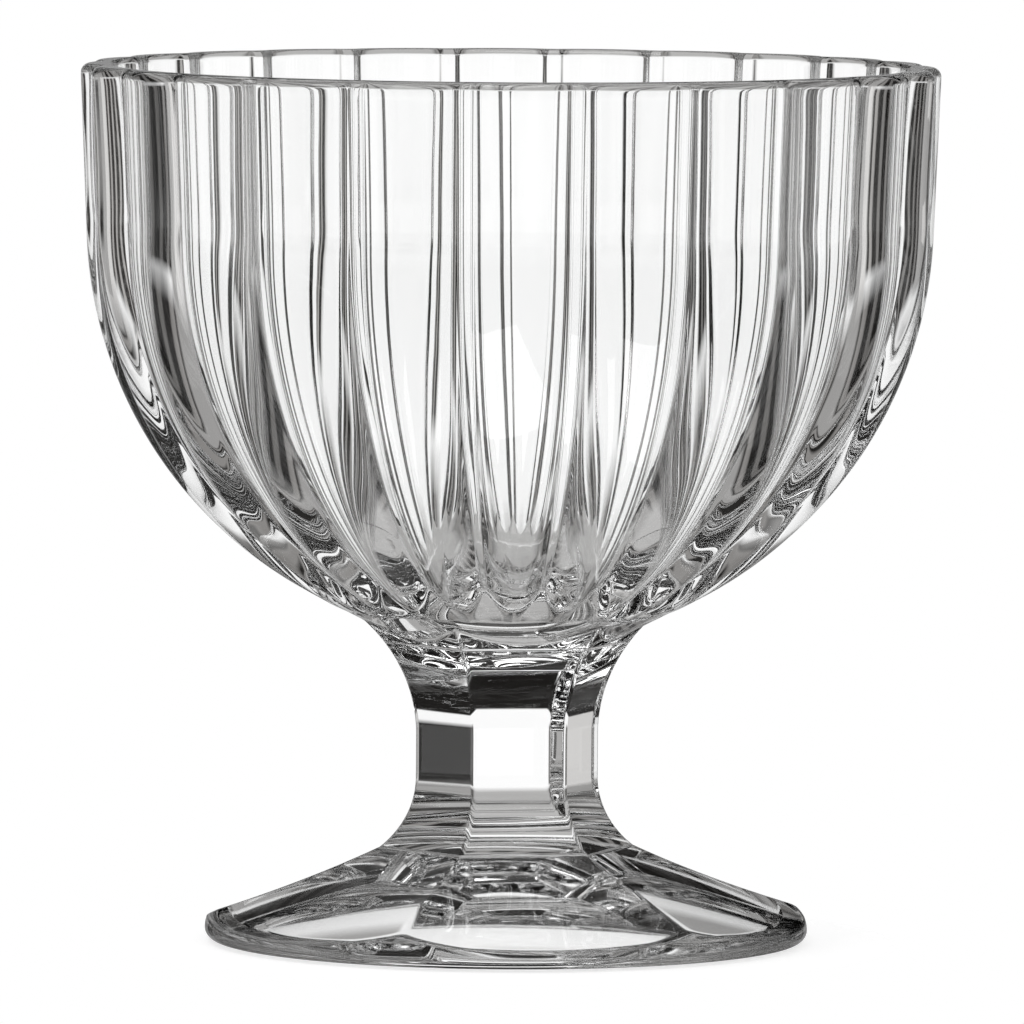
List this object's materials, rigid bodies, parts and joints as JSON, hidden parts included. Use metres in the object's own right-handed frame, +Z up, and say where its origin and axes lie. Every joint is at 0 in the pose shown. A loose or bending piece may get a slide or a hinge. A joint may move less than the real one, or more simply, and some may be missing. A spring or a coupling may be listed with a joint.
{
  "type": "parfait glass",
  "caption": "Footed dessert glass with a ribbed round bowl, a short waisted six-sided stem and a wide panelled foot, for ice cream, parfaits and desserts.",
  "frame": {"origin": "middle of the face that the foot stands on", "axes": "+Z up along the axis of the glass; a flat panel of the stem and foot faces -Y"},
  "size_m": [0.1032, 0.1032, 0.1059],
  "materials": {
    "clear_glass": "fire-polished clear pressed glass"
  },
  "bodies": {
    "root": {"bowl": "clear_glass", "stem": "clear_glass", "foot": "clear_glass"}
  },
  "joints": []
}
